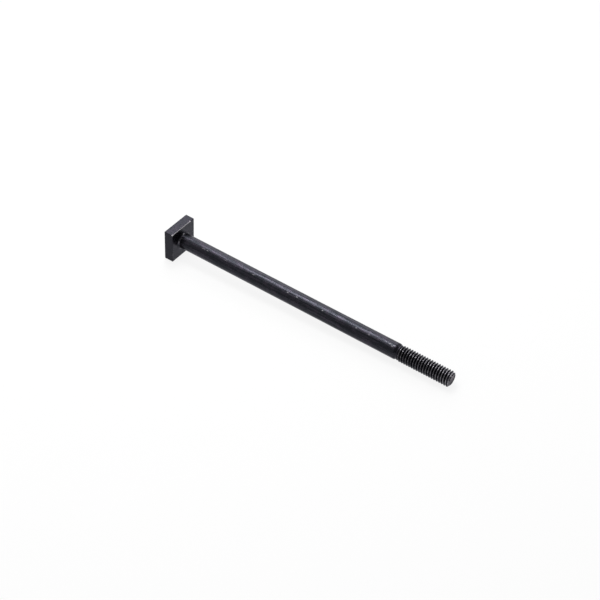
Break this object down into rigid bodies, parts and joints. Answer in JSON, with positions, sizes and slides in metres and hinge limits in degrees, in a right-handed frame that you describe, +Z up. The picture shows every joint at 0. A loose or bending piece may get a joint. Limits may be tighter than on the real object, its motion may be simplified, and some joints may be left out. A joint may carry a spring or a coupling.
{
  "type": "square-head exhaust bolt",
  "caption": "Long steel bolt with a thin square head, a plain round shank and a coarse thread at its end, lying as it comes to rest.",
  "frame": {"origin": "on the ground below the middle of the lying bolt's box", "axes": "+X from the head towards the point, level with the ground; +Y across the bolt, square to a flat of the head; +Z up"},
  "size_m": [0.1902, 0.0202, 0.0203],
  "materials": {
    "black_oxide_steel": "black oxide, lightly oiled, semi-gloss"
  },
  "bodies": {
    "root": {"bolt": "black_oxide_steel"}
  },
  "joints": []
}
